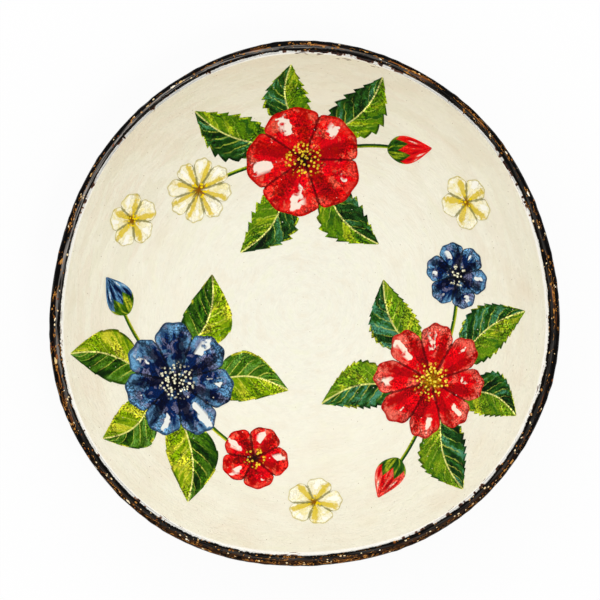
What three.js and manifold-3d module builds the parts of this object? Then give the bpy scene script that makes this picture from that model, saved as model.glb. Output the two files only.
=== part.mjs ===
// Decorated gourd bowl: half a hard-shelled gourd, cut by hand, with an ivory coat inside, a dark edging
// built up on the cut edge and flower sprays of printed paper glued to the inside.
// Millimetres and degrees. Z is up, the sanded foot rests on z = 0 and the bowl's axis is the Z axis.
import * as THREE from "three";
import { mergeVertices } from "three/addons/utils/BufferGeometryUtils.js";
import Module from "manifold-3d";

// Gourd shell
const rimRadius = 100; // mean outer radius at the cut edge
const cutHeight = 52; // the cut edge above the foot
const rimLean = 60; // slope of the wall at the cut edge
const wallPull = 38; // how far that slope is held down the wall
const bellyPull = 52; // how far the level belly is held out from the axis
const sandedDepth = 2; // taken off the belly to make the flat foot
const floorWall = 4.5; // shell thickness at the axis before sanding
const rimWall = 2.5; // shell thickness at the cut edge

// Coats on the shell
const seat = 0.3; // clearance between one layer and the next
const liningThickness = 0.5; // ivory coat
const edgingHeight = 2.2; // dark edging above its seat on the cut edge

// Plan of the gourd: swells of the radius at the cut edge, with the direction of each one's crest
const ovalSwell = 1.6;
const trefoilSwell = 1.5;
const squareSwell = 0.3;
const rippleSwell = 0.25;
const planLobes = [
  { count: 2, swell: ovalSwell, crest: 83 },
  { count: 3, swell: trefoilSwell, crest: 92 },
  { count: 4, swell: squareSwell, crest: 46 },
  { count: 7, swell: rippleSwell, crest: 41 },
];

// Rise and fall of the hand-cut edge
const saddleWave = 0.5;
const tripleWave = 0.4;
const edgeWaves = [
  { count: 2, swell: saddleWave, crest: 20 },
  { count: 3, swell: tripleWave, crest: 150 },
];

// Paper cut-outs
const paperThickness = 0.3; // with its glue
const paperGap = 0.5; // between neighbouring cut-outs
const sprayMargin = 5.5; // bare wall between a spray's highest tip and the cut edge
const floretMargin = 18; // bare wall between a lone floret and the cut edge
const blossomRadius = 24;
const companionRadius = 14;
const floretRadius = 12;
const budLength = 20;
const budWidth = 13;
const companionStem = 7; // stem that shows between the blossom and its companion
const budStem = 11; // stem that shows between the blossom and its bud
const stemWidth = 1.6;
const stemBow = 3; // how far a stem bows sideways
const longLeaf = 30; // from the blossom's edge to a long leaf's tip
const shortLeaf = 22; // the same for a short leaf
const broadLeaf = 23; // width of a long leaf
const slimLeaf = 21; // width of a short leaf
const leafBow = 4.5; // how far a leaf bows sideways
const leafTuck = 11; // a leaf's stalk end, in under the blossom's edge
const tipWidth = 0.5; // left at the points of a leaf or bud
const leafBelly = 0.8; // power that sets how far along a leaf is widest
const budBelly = 0.7; // the same for a bud

// Where the pieces of a spray sit around its blossom. Aim 90 points up the wall.
const leafSpots = [
  { aim: 50, length: longLeaf, width: broadLeaf, bow: -leafBow },
  { aim: 97, length: shortLeaf, width: slimLeaf, bow: leafBow },
  { aim: 152, length: longLeaf, width: broadLeaf, bow: leafBow },
  { aim: 236, length: shortLeaf, width: slimLeaf, bow: leafBow },
  { aim: 311, length: shortLeaf, width: slimLeaf, bow: -leafBow },
];
const companionSpot = { aim: 195, distance: blossomRadius + companionStem + companionRadius, bow: -stemBow };
const budSpot = { aim: 8, distance: blossomRadius + budStem + budLength / 2, bow: stemBow };

// Flowers: the number of petals, how deep the dips between them are as a share of the radius, and the colour
const red = "#b8161f";
const blue = "#34538c";
const white = "#f3ecc9";
const sprays = [
  {
    name: "poppy",
    turn: 90,
    blossom: { petals: 5, dip: 0.2, colour: red },
    companion: { petals: 8, dip: 0.3, colour: white },
    budColour: red,
    leafColour: "#2f6b2c",
  },
  {
    name: "anemone",
    turn: 210,
    blossom: { petals: 7, dip: 0.27, colour: blue },
    companion: { petals: 5, dip: 0.24, colour: red },
    budColour: blue,
    leafColour: "#5c8f2e",
  },
  {
    name: "cosmos",
    turn: 330,
    blossom: { petals: 8, dip: 0.3, colour: red },
    companion: { petals: 6, dip: 0.26, colour: blue },
    budColour: red,
    leafColour: "#3f7d3a",
  },
];
const floret = { petals: 5, dip: 0.32, colour: white };
const floretTurns = [33, 153, 273];

// Fineness of the solids
const segments = 56; // around the axis
const rings = 12; // from the axis to the cut edge
const edgingSteps = 6; // over the rounded edging
const petalSteps = 5; // points on each petal
const sideSteps = 7; // points on each side of a leaf, bud or stem
const tolerance = 1e-4; // corners this close are one corner

const wasm = await Module();
wasm.setup();
const radians = THREE.MathUtils.degToRad;

// The gourd's skin in half section: radius against height
const skin = new THREE.CubicBezierCurve(
  new THREE.Vector2(0, -sandedDepth),
  new THREE.Vector2(bellyPull, -sandedDepth),
  new THREE.Vector2(
    rimRadius - wallPull * Math.cos(radians(rimLean)),
    cutHeight - wallPull * Math.sin(radians(rimLean)),
  ),
  new THREE.Vector2(rimRadius, cutHeight),
);

// Finds where a rising function of the skin's parameter passes a level
function crossing(rise, level) {
  let low = 0;
  let high = 1;
  while (high - low > tolerance ** 2) {
    const middle = (low + high) / 2;
    if (rise(middle) < level) {
      low = middle;
    } else {
      high = middle;
    }
  }
  return low;
}

// A point inside the shell's inner face by `lift`, on the line square to the skin
function inside(t, lift) {
  const along = skin.getTangent(t);
  const depth = THREE.MathUtils.lerp(floorWall, rimWall, t) + lift;
  const point = skin.getPoint(t);
  return new THREE.Vector2(Math.max(0, point.x - along.y * depth), point.y + along.x * depth);
}

// Half section of a face `lift` inside the shell's inner face, from the axis to the cut plane
function face(lift) {
  const last = crossing((t) => inside(t, lift).y, cutHeight);
  return Array.from({ length: rings + 1 }, (_, i) => inside((last * i) / rings, lift));
}

// Half section of the shell's outside, from the rim of the foot to the cut edge
function outside() {
  const first = crossing((t) => skin.getPoint(t).y, 0);
  return Array.from({ length: rings + 1 }, (_, i) => {
    return skin.getPoint(THREE.MathUtils.lerp(first, 1, i / rings));
  });
}

// A closed solid from a three.js geometry
function solid(geometry) {
  const bare = new THREE.BufferGeometry();
  bare.setAttribute("position", geometry.getAttribute("position"));
  bare.setIndex(geometry.getIndex());
  const merged = mergeVertices(bare, tolerance);
  const corners = merged.getIndex().array;
  const kept = [];
  for (let i = 0; i < corners.length; i += 3) {
    const [a, b, c] = corners.slice(i, i + 3);
    if (a !== b && b !== c && c !== a) {
      kept.push(a, b, c);
    }
  }
  return new wasm.Manifold(
    new wasm.Mesh({
      numProp: 3,
      vertProperties: new Float32Array(merged.getAttribute("position").array),
      triVerts: new Uint32Array(kept),
    }),
  );
}

// Turns a half section about the bowl's axis
function turned(section) {
  return solid(new THREE.LatheGeometry(section, segments).rotateX(Math.PI / 2));
}

// Sum of a list of swells at a direction
function swellAt(lobes, direction) {
  return lobes.reduce((sum, lobe) => {
    return sum + lobe.swell * Math.cos(lobe.count * (direction - radians(lobe.crest)));
  }, 0);
}

// Gives a piece the gourd's plan and hand-cut edge. Both grow with height, so the foot stays round and flat.
function gourdShaped(positions) {
  const point = new THREE.Vector3();
  for (let i = 0; i < positions.count; i += 1) {
    point.fromBufferAttribute(positions, i);
    const height = point.z / cutHeight;
    const direction = Math.atan2(point.y, point.x);
    const spread = 1 + (swellAt(planLobes, direction) / rimRadius) * height;
    const rise = swellAt(edgeWaves, direction) * height ** 2;
    positions.setXYZ(i, point.x * spread, point.y * spread, point.z + rise);
  }
  return positions;
}

const bowl = new THREE.Group();
bowl.name = "gourd_bowl";

function addPiece(name, piece, look) {
  const { vertProperties, triVerts } = piece.getMesh();
  const geometry = new THREE.BufferGeometry();
  geometry.setAttribute("position", gourdShaped(new THREE.BufferAttribute(vertProperties, 3)));
  geometry.setIndex(new THREE.BufferAttribute(triVerts, 1));
  geometry.computeVertexNormals();
  const mesh = new THREE.Mesh(geometry, new THREE.MeshStandardMaterial(look));
  mesh.name = name;
  bowl.add(mesh);
}

// Shell: foot, outside, cut edge and inside
const shellInside = face(0);
addPiece(
  "gourd_shell",
  turned([new THREE.Vector2(0, 0), ...outside(), ...shellInside.toReversed()]),
  { color: "#3a2415", roughness: 0.45, metalness: 0 },
);

// Ivory coat over the whole inside, up to the cut edge
const liningFace = face(seat + liningThickness);
addPiece(
  "ivory_lining",
  turned([...face(seat), ...liningFace.toReversed()]),
  { color: "#f4f2e1", roughness: 0.5, metalness: 0 },
);

// Dark edging: a rounded bead over the cut edge, from the outside skin to the face of the ivory coat
const edgingInner = liningFace.at(-1).x;
const edgingHalf = (rimRadius - edgingInner) / 2;
const edgingSection = Array.from({ length: edgingSteps + 1 }, (_, i) => {
  const around = (Math.PI * i) / edgingSteps;
  return new THREE.Vector2(
    edgingInner + edgingHalf * (1 + Math.cos(around)),
    cutHeight + seat + edgingHeight * Math.sin(around),
  );
});
addPiece(
  "rim_edging",
  turned([...edgingSection, edgingSection[0].clone()]),
  { color: "#15110f", roughness: 0.35, metalness: 0 },
);

// The layer that every cut-out is cut from, and the curve that measures distances up the wall
const paperBack = face(2 * seat + liningThickness);
const paperFace = face(2 * seat + liningThickness + paperThickness);
const paperLayer = turned([...paperBack, ...paperFace.toReversed()]);
const wallCurve = new THREE.SplineCurve(paperBack);
const wallLength = wallCurve.getLength();

// Flower seen from the front: round petals with a dip between each two
function flowerOutline({ petals, dip }, radius) {
  const count = petals * petalSteps;
  return Array.from({ length: count }, (_, i) => {
    const around = (2 * Math.PI * i) / count;
    const swell = Math.sqrt(Math.abs(Math.sin((petals * around) / 2)));
    const reach = radius * (1 - dip + dip * swell);
    return new THREE.Vector2(reach * Math.cos(around), reach * Math.sin(around));
  });
}

// A strip along x that bows sideways, with half its width given at each share of its length
function stripOutline(start, end, bow, halfWidth) {
  const side = (sign) => {
    return Array.from({ length: sideSteps + 1 }, (_, i) => {
      const share = i / sideSteps;
      const middle = bow * Math.sin(Math.PI * share);
      return new THREE.Vector2(THREE.MathUtils.lerp(start, end, share), middle + sign * halfWidth(share));
    });
  };
  return [...side(-1), ...side(1).reverse()];
}

// Half width of a strip that swells from one point to the other
function pointed(width, belly) {
  return (share) => tipWidth / 2 + ((width - tipWidth) / 2) * Math.sin(Math.PI * share ** belly);
}

// Pointed leaf, widest a little before its middle, with its stalk end under the blossom
function leafOutline({ length, width, bow }) {
  return stripOutline(blossomRadius - leafTuck, blossomRadius + length, bow, pointed(width, leafBelly));
}

// Closed bud, fuller towards its stalk
function budOutline() {
  return stripOutline(-budLength / 2, budLength / 2, 0, pointed(budWidth, budBelly));
}

// Stem from the blossom's middle to the flower or bud that it carries
function stemOutline({ distance, bow }) {
  return stripOutline(0, distance, bow, () => stemWidth / 2);
}

// Moves an outline out by `distance` and turns it to `aim`
function placed(outline, aim, distance) {
  const middle = new THREE.Vector2(distance, 0);
  const origin = new THREE.Vector2();
  return outline.map((point) => point.clone().add(middle).rotateAround(origin, radians(aim)));
}

// The outline pushed out by `margin` all round
function grown(outline, margin) {
  const sign = Math.sign(THREE.ShapeUtils.area(outline));
  return outline.map((point, i) => {
    const before = outline.at(i - 1);
    const after = outline[(i + 1) % outline.length];
    const along = after.clone().sub(before).normalize();
    return new THREE.Vector2(point.x + sign * margin * along.y, point.y - sign * margin * along.x);
  });
}

// How far up the wall a group of outlines sits, with `margin` between its highest point and the cut edge
function reachOf(outlines, margin) {
  const highest = wallLength - margin;
  return Math.min(...outlines.flat().map(({ x, y }) => Math.sqrt(highest ** 2 - x ** 2) - y));
}

// Upright prism on the plan of an outline that is laid on the wall, `reach` up from the middle of the floor
function prism(outline, turn, reach) {
  const plan = placed(placed(outline, -90, 0), turn, reach).map((point) => {
    return point.setLength(wallCurve.getPointAt(point.length() / wallLength).x);
  });
  return solid(new THREE.ExtrudeGeometry(new THREE.Shape(plan), { depth: cutHeight, bevelEnabled: false }));
}

// Cuts a piece of paper from what the pieces before it have left, and takes it and its gap out of the layer
let paperLeft = paperLayer;
function addPaper(name, outline, turn, reach, color) {
  const piece = paperLeft.intersect(prism(outline, turn, reach));
  addPiece(name, piece, { color, roughness: 0.55, metalness: 0 });
  paperLeft = paperLeft.subtract(prism(grown(outline, paperGap), turn, reach));
}

// Cut-outs of one spray, the top ones first
function addSpray({ name, turn, blossom, companion, budColour, leafColour }) {
  const at = (outline, spot) => placed(outline, spot.aim, spot.distance);
  const pieces = [
    ["blossom", flowerOutline(blossom, blossomRadius), blossom.colour],
    ["companion", at(flowerOutline(companion, companionRadius), companionSpot), companion.colour],
    ["bud", at(budOutline(), budSpot), budColour],
    ["companion_stem", placed(stemOutline(companionSpot), companionSpot.aim, 0), leafColour],
    ["bud_stem", placed(stemOutline(budSpot), budSpot.aim, 0), leafColour],
    ...leafSpots.map((spot, i) => [`leaf_${i + 1}`, placed(leafOutline(spot), spot.aim, 0), leafColour]),
  ];
  const reach = reachOf(pieces.map(([, outline]) => outline), sprayMargin);
  pieces.forEach(([part, outline, colour]) => addPaper(`${name}_${part}`, outline, turn, reach, colour));
}
sprays.forEach(addSpray);

floretTurns.forEach((turn, i) => {
  const outline = flowerOutline(floret, floretRadius);
  addPaper(`floret_${i + 1}`, outline, turn, reachOf([outline], floretMargin), floret.colour);
});

export default bowl;
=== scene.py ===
# Gourd bowl: ivory coat inside, dark built-up edge, flower sprays of printed paper glued to the wall.
# Shapes are worked out in millimetres and go into the meshes in metres, in the frame of the solids.
from functools import partial
import bpy
import numpy as np
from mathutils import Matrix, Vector


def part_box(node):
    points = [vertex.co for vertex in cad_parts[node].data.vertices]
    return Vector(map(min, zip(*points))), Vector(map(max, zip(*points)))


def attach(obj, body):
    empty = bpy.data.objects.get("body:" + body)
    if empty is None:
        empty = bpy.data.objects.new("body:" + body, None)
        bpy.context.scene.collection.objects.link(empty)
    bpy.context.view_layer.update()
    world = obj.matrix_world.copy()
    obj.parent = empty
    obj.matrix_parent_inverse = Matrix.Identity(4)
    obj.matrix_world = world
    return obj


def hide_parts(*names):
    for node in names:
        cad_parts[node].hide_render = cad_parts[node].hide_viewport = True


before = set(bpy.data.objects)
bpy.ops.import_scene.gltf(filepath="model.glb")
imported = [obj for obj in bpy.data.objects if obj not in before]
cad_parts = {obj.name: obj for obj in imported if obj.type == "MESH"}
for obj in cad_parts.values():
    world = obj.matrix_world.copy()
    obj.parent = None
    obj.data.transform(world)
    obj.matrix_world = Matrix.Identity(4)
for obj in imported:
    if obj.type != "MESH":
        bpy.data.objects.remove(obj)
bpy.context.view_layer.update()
mmPerMetre = 1000
metresPerMm = 1 / mmPerMetre
fullTurn = 2 * np.pi
print("frame loaded:", len(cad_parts), "solids")

# Camera and light
photoView = {
    "pixels": 600,
    "pixelSize": 0.3843,  # mm on the plane of the rim
    "bowlCentre": (304.2, 307.7),  # pixel at the bowl's axis
    "distance": 1200,  # mm above the rim
}
studio = {
    "worldLight": 0.88,
    "lamps": [  # name, shape, mm across, place, watts
        ("softBox", "SQUARE", 1200, (-250, 1150, 1150), 4.1),  # beyond the photograph's top edge
        ("glintLamp", "DISK", 240, (230, -230, 1400), 3),  # draws a glint along the glossy edge
    ],
    "floorGlow": 0.92,  # share of the floor that is plain white to the camera, the rest keeps the shadow
    "footGlow": 0.35,  # the same under the bowl, where its shadow is deepest
    "glowStart": 30,  # mm from the axis at which the floor's glow starts to grow and wash out the shadow
    "floorSize": 2400,
    "floorDrop": 0.3,  # mm under the foot, so that the two faces stay apart
}

# The gourd, as its solids have it
bowlForm = {
    "rimRadius": 100,
    "cutHeight": 52,
    "rimLean": 60,  # slope of the wall at the cut edge, degrees
    "wallPull": 38,
    "bellyPull": 52,
    "sandedDepth": 2,
    "floorWall": 4.5,
    "rimWall": 2.5,
    "planLobes": [(2, 1.6, 83), (3, 1.5, 92), (4, 0.3, 46), (7, 0.25, 41)],  # count, swell, crest
    "edgeWaves": [(2, 0.5, 20), (3, 0.4, 150)],
}
rimRadius = bowlForm["rimRadius"]
cutHeight = bowlForm["cutHeight"]
fineT = np.linspace(0, 1, 4001)  # steps along the skin's curve, to look a place up


# sRGB hex colour as linear red, green and blue with full alpha
def linear(hexColour):
    parts = np.array([int(hexColour[i:i + 2], 16) for i in (1, 3, 5)]) / 255
    curved = np.where(parts <= 0.04045, parts / 12.92, ((parts + 0.055) / 1.055) ** 2.4)
    return (*curved.tolist(), 1.0)


# Sets a node's inputs, by socket name or number, to a value, a hex colour or another node's socket
def setInputs(node, inputs):
    for name, value in inputs.items():
        if isinstance(value, bpy.types.NodeSocket):
            node.id_data.links.new(value, node.inputs[name])
        else:
            node.inputs[name].default_value = linear(value) if isinstance(value, str) else value


# Adds a node and gives one of its outputs. Inputs come by name, or as a list in the order of the sockets,
# which for MapRange is: value, from low, from high, to low, to high. Math with no operation adds.
def addNode(tree, kind, inputs=(), out=0, stops=(), **settings):
    made = tree.nodes.new("ShaderNode" + kind)
    for name, value in settings.items():
        setattr(made, name, value)
    setInputs(made, inputs if isinstance(inputs, dict) else dict(enumerate(inputs)))
    for i, (place, colour) in enumerate(stops[:1] + stops[-1:] + stops[1:-1]):  # a new ramp has both its ends
        elements = made.color_ramp.elements
        stop = elements[i] if i < 2 else elements.new(place)
        stop.position = place
        stop.color = linear(colour)
    return made.outputs[out] if made.outputs else made


# A new material, the function that adds its nodes, and its shader
def newMaterial(name):
    material = bpy.data.materials.new(name)
    material.use_nodes = True
    tree = material.node_tree
    return material, partial(addNode, tree), tree.nodes["Principled BSDF"]


# Lays paints over a ground, one after another, each by its share or by the product of its shares
def layered(add, ground, paints):
    for share, *others, paint in paints:
        for other in others:
            share = add("Math", [share, other], operation="MULTIPLY")
        ground = add("Mix", {0: share, 6: ground, 7: paint}, 2, data_type="RGBA")
    return ground


# Noise drawn out into strokes, stretched by its own amount along each axis
def strokes(add, place, stretch, grain, out=0):
    drawn = add("Mapping", {"Vector": place, "Scale": stretch})
    return add("TexNoise", {"Vector": drawn, "Scale": 1, **grain}, out)


# Directions once around the axis
def directions(count):
    return np.linspace(0, fullTurn, count, endpoint=False)


# Half section of the gourd's skin: a cubic curve from the axis to the cut edge, and its unit tangent
def skinCurve(t):
    lean = np.radians(bowlForm["rimLean"])
    pull = bowlForm["wallPull"]
    low = -bowlForm["sandedDepth"]
    handles = np.array([
        [0, low],
        [bowlForm["bellyPull"], low],
        [rimRadius - pull * np.cos(lean), cutHeight - pull * np.sin(lean)],
        [rimRadius, cutHeight],
    ])
    s = 1 - t
    weights = np.stack([s ** 3, 3 * t * s ** 2, 3 * t ** 2 * s, t ** 3], -1)
    slopes = np.stack([-s ** 2, s ** 2 - 2 * t * s, 2 * t * s - t ** 2, t ** 2], -1)
    along = slopes @ handles
    return weights @ handles, along / np.linalg.norm(along, axis=-1, keepdims=True)


# A point inside the shell's inner face by `lift`, on the line square to the skin: radius and height
def insideCurve(t, lift):
    point, along = skinCurve(t)
    depth = bowlForm["floorWall"] + (bowlForm["rimWall"] - bowlForm["floorWall"]) * t + lift
    return np.maximum(0, point[..., 0] - along[..., 1] * depth), point[..., 1] + along[..., 0] * depth


# Share of the wall's curve at which a face `lift` inside the shell reaches the cut plane
def lastShare(lift):
    return np.interp(cutHeight, insideCurve(fineT, lift)[1], fineT)


# Sum of cosine swells at a direction, each with its count, size and crest
def swellAt(lobes, angle):
    return sum(size * np.cos(count * (angle - np.radians(crest))) for count, size, crest in lobes)


# Radius, direction and height to x, y and z: the plan swells and the edge waves with height
def gourdShaped(radius, angle, height):
    share = height / cutHeight
    spread = radius * (1 + swellAt(bowlForm["planLobes"], angle) / rimRadius * share)
    rise = swellAt(bowlForm["edgeWaves"], angle) * share ** 2
    return np.stack([spread * np.cos(angle), spread * np.sin(angle), height + rise], -1)


# Sum of sine waves in plan: random directions and phases, wavelengths between two sizes, 1 at most
def planWaves(x, y, seed, count, shortest, longest):
    random = np.random.default_rng(seed)
    total = 0
    for length in np.geomspace(longest, shortest, count):
        turn, phase = random.uniform(0, fullTurn, 2)
        total = total + np.sin(fullTurn * (x * np.cos(turn) + y * np.sin(turn)) / length + phase)
    return total / count


# Mesh object that stands for a node and hides its solid: a grid of points, joined around its columns. The
# first and last rows close to a pole, or onto each other in a ring. Attributes hold a number or a vector
# for each point.
def addPiece(node, points, material, attributes, ring=False, sharp=40):
    rows, columns = points.shape[:2]

    # points of a grid in one list: all of them in a ring, or else one for each pole and the rows between
    def listed(grid):
        size = grid.shape[2]
        if ring:
            return grid.reshape(-1, size)
        return np.concatenate([grid[:1].mean(1), grid[1:-1].reshape(-1, size), grid[-1:].mean(1)])

    flat = listed(points)
    body = rows if ring else rows - 2
    first = 0 if ring else 1
    column = np.arange(columns)
    beside = (column + 1) % columns
    start = first + columns * np.arange(body if ring else body - 1)[:, None]
    following = first + columns * (np.arange(1, len(start) + 1) % body)[:, None]
    corners = [start + column, start + beside, following + beside, following + column]
    quads = np.stack(corners, -1).reshape(-1, 4)
    fans = np.empty((0, 3), int)
    if not ring:
        last = first + (body - 1) * columns
        fans = np.concatenate([
            np.stack([0 * column, first + beside, first + column], -1),
            np.stack([0 * column + len(flat) - 1, last + column, last + beside], -1)])
    # faces look outwards when the volume that they close is more than nothing
    a, b, c = flat[np.concatenate([quads[:, :3], quads[:, [0, 2, 3]], fans])].transpose(1, 0, 2)
    if np.einsum("ij,ij->", a, np.cross(b, c)) < 0:
        quads, fans = quads[:, ::-1], fans[:, ::-1]
    word, *more = node.split("_")
    name = word + "".join(part.title() for part in more)
    mesh = bpy.data.meshes.new(name)
    mesh.from_pydata((flat * metresPerMm).tolist(), [], quads.tolist() + fans.tolist())
    for key, values in attributes.items():
        size = 3 if values.ndim == 3 else 1
        values = listed(values.reshape(rows, columns, size))
        made = mesh.attributes.new(key, "FLOAT_VECTOR" if size == 3 else "FLOAT", "POINT")
        made.data.foreach_set("vector" if size == 3 else "value", values.astype(np.float32).ravel())
    mesh.polygons.foreach_set("use_smooth", np.ones(len(mesh.polygons), bool))
    mesh.set_sharp_from_angle(angle=np.radians(sharp))
    mesh.materials.append(material)
    mesh.update()
    piece = bpy.data.objects.new(name, mesh)
    bpy.context.collection.objects.link(piece)
    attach(piece, "root")
    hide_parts(node)


print("helpers ready")

# Ivory coat: gesso and paint brushed on the inside, seen as a satin cream skin with soft brush ridges
coat = {
    "back": 0.3,  # mm inside the shell's inner face
    "face": 1.1,
    "swell": 0.22,  # mm, broad unevenness of the gourd and its gesso
    "swellWaves": {"seed": 3, "count": 7, "shortest": 16, "longest": 60},
    "ridge": 0.05,  # mm, brush ridges
    "ridgeWaves": {"seed": 5, "count": 9, "shortest": 5, "longest": 11},
    "calmEdge": 12,  # power of the rise by which the unevenness dies out at the edge
    "swirl": 30,  # mm around the axis where the strokes swirl and don't crowd
    "relief": 0.35,  # mm, hair lines and crumples
    "rows": 150,
    "backRows": 30,
    "columns": 420,
    "waySteps": 3001,
}


# Height of the coat's hand-laid surface over its even face, in plan
def coatRipple(x, y):
    swell = coat["swell"] * planWaves(x, y, **coat["swellWaves"])
    return swell + coat["ridge"] * planWaves(x, y, **coat["ridgeWaves"])


# Way up the wall along the coat's face, in mm from the middle of the floor, against the curve's parameter
wallT = np.linspace(0, lastShare(coat["face"]), coat["waySteps"])
wallPoints = np.stack(insideCurve(wallT, coat["face"]), -1)
wallWay = np.concatenate([[0], np.cumsum(np.linalg.norm(np.diff(wallPoints, axis=0), axis=1))])


def ivoryPaint():
    material, add, shader = newMaterial("ivory_paint_brushed_over_gesso")
    place = add("TexCoord", out="Object")
    wall = add("Attribute", out="Fac", attribute_name="upWall")
    gap = add("Attribute", out="Fac", attribute_name="edgeGap")
    around = add("Attribute", out="Vector", attribute_name="brush")
    # strokes run around the bowl and wander by a few millimetres
    wander = add("TexNoise", {"Vector": place, "Scale": mmPerMetre / 16})
    wanderMm = add("Math", [wander, 6], operation="MULTIPLY")
    brush = add("VectorMath", [around, add("CombineXYZ", {"Z": wanderMm})], operation="ADD")
    # hair lines 0.8 mm apart and 9 mm long, bands 5 mm wide
    hair = strokes(add, brush, (11, 11, 1 / 0.8), {"Detail": 4, "Roughness": 0.7})
    band = strokes(add, brush, (4, 4, 1 / 5), {"Detail": 4, "Roughness": 0.6})
    tone = add("ValToRGB", [band], stops=[(0.3, "#f0ebd9"), (0.5, "#f3f1e2"), (0.7, "#f2f1dc")])
    hairValue = add("MapRange", [hair, 0.3, 0.7, 0.96, 1.02])
    # crisp crumples of the gesso, 2.5 mm, worst high on the wall, with painted shade in their hollows
    dimple = add("TexNoise", {"Vector": place, "Scale": mmPerMetre / 2.5, "Detail": 4, "Distortion": 1.2})
    high = add("MapRange", [wall, 0.5, 0.95, 0.3, 1.1])
    # painted shade: the coat darkens in the crumples' hollows and is a touch lighter on their crests
    hollowShade = add("MapRange", [high, 0.3, 1.1, 0.985, 0.94])
    crumpleShade = add("MapRange", [dimple, 0.36, 0.56, hollowShade, 1.01])
    strokeValue = add("Math", [hairValue, crumpleShade], operation="MULTIPLY")
    stroked = add("HueSaturation", {"Value": strokeValue, "Color": tone})
    # two thin washes in patches with hard edges, 30 mm long and 6 mm wide: one pinkish, one greenish
    washNoise = strokes(add, brush, (3.4, 3.4, 1 / 6), {"Detail": 3, "Roughness": 0.55}, "Color")
    washes = add("SeparateColor", [washNoise]).node.outputs
    leftUp = add("VectorMath", [place, (-0.5, 0.85, 0)], "Value", operation="DOT_PRODUCT")
    washTop = add("MapRange", [leftUp, -0.06, 0.08, 0.14, 0.6])
    washUp = add("MapRange", [wall, 0.4, 0.7])
    washDepth = add("Math", [washTop, washUp], operation="MULTIPLY")
    pinkWash = add("MapRange", [washes["Red"], 0.52, 0.55, 0, washDepth])
    greenWash = add("MapRange", [washes["Blue"], 0.53, 0.56, 0, washDepth])
    # the coat yellows towards the edge, where painted light also makes it lighter, and there it turns darker
    # and browner towards +Y
    edgeShare = add("MapRange", [wall, 0.15, 1, 0, 0.5])
    north = add("VectorMath", [place, (-0.12, 0.99, 0)], "Value", operation="DOT_PRODUCT")
    darkerTowardsY = add("MapRange", [north, 0.04, 0.1])
    # pinkish tan bloom in patches, 18 mm across, near the edge
    bloom = add("TexNoise", {"Vector": place, "Scale": mmPerMetre / 18, "Detail": 4})
    bloomed = add("MapRange", [bloom, 0.5, 0.75])
    # pin-prick specks, 0.4 mm across and about 2.4 mm apart, most of them faint
    cell = add("TexVoronoi", {"Vector": place, "Scale": mmPerMetre / 2.4})
    fleck = add("SeparateColor", [cell.node.outputs["Color"]])
    spot = add("MapRange", [cell, 0.1, 0.055])
    most = add("MapRange", [wall, 0.2, 0.8, 0.4, 0.85])
    deep = add("MapRange", [fleck, 0.1, 1, 0.05, most])
    # painted light: a pale line on the coat along the edging, which lifts the edging's shade there
    paintedPaleLine = add("MapRange", [gap, 1.35, 0.85])
    # nicks where the dark edging ran onto the ivory: dashes 4 mm long and 0.6 mm wide, in groups close to it,
    # most of them to +Y and a little to +X
    nick = strokes(add, around, (26, 26, 1 / 0.6), {"Distortion": 0.6})
    sector = add("TexNoise", {"Vector": place, "Scale": mmPerMetre / 24, "Detail": 1})
    nickSide = add("MapRange", [sector, 0.45, 0.58, -0.12, 0.02])
    chipSide = add("VectorMath", [around, (0.4, 0.92, 0)], "Value", operation="DOT_PRODUCT")
    nickMost = add("MapRange", [chipSide, 0.75, 0.95, -0.035, 0.05])
    nickNear = add("MapRange", [gap, 0.4, 3, 0.03, -0.3])
    for more in (nickSide, nickMost, nickNear):
        nick = add("Math", [nick, more])
    nicked = add("MapRange", [nick, 0.565, 0.585])
    nickInk = add("ValToRGB", [nick], stops=[(0.565, "#b47a48"), (0.6, "#5e2f14"), (0.67, "#1c0a05")])
    colour = layered(add, stroked, [
        (pinkWash, "#e8dbc8"), (greenWash, "#e3e0c9"), (edgeShare, "#fdf6dd"), (darkerTowardsY, edgeShare, "#dacdad"),
        (bloomed, edgeShare, "#ebdac0"), (spot, deep, "#86683a"), (paintedPaleLine, "#fffdf5"), (nicked, nickInk)])
    # relief: hair lines and crumples, and beside the edging a fall of half a millimetre that faces up
    crumple = add("Math", [dimple, high], operation="MULTIPLY")
    relief = add("Math", [hair, 0.8, crumple], operation="MULTIPLY_ADD")
    lip = add("MapRange", [gap, 0.5, 1.3, -1.4, 0])
    height = add("Math", [relief, lip])
    bump = add("Bump", {"Height": height, "Strength": 1, "Distance": coat["relief"] * metresPerMm})
    rough = add("MapRange", [band, 0, 1, 0.38, 0.52])
    setInputs(shader, {"Base Color": colour, "Normal": bump, "Roughness": rough, "Specular IOR Level": 0.3})
    return material


# Lining: the coat's rippled face from the axis to the edge, and its back down to the axis again
def addLining():
    angle = directions(coat["columns"])[None, :]
    rise = np.linspace(0, 1, coat["rows"])[:, None] * np.ones_like(angle)
    faceT = rise * lastShare(coat["face"])
    radius, height = insideCurve(faceT, coat["face"])
    ripple = coatRipple(radius * np.cos(angle), radius * np.sin(angle)) * (1 - rise ** coat["calmEdge"])
    radius, height = insideCurve(faceT, coat["face"] + ripple)
    backRise = np.linspace(1, 0, coat["backRows"])[:, None] * np.ones_like(angle)
    backRadius, backHeight = insideCurve(backRise * lastShare(coat["back"]), coat["back"])
    radius = np.concatenate([radius, backRadius])
    points = gourdShaped(radius, angle, np.concatenate([height, backHeight]))
    rise = np.concatenate([rise, backRise])
    way = np.interp(rise * wallT[-1], wallT, wallWay)
    near = np.minimum(1, way / coat["swirl"])
    brush = np.stack([np.cos(angle) * near, np.sin(angle) * near, way], -1)
    attributes = {"upWall": rise, "brush": brush, "edgeGap": edgingInner(angle) - radius}
    addPiece("ivory_lining", points, ivoryPaint(), attributes)


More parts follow.
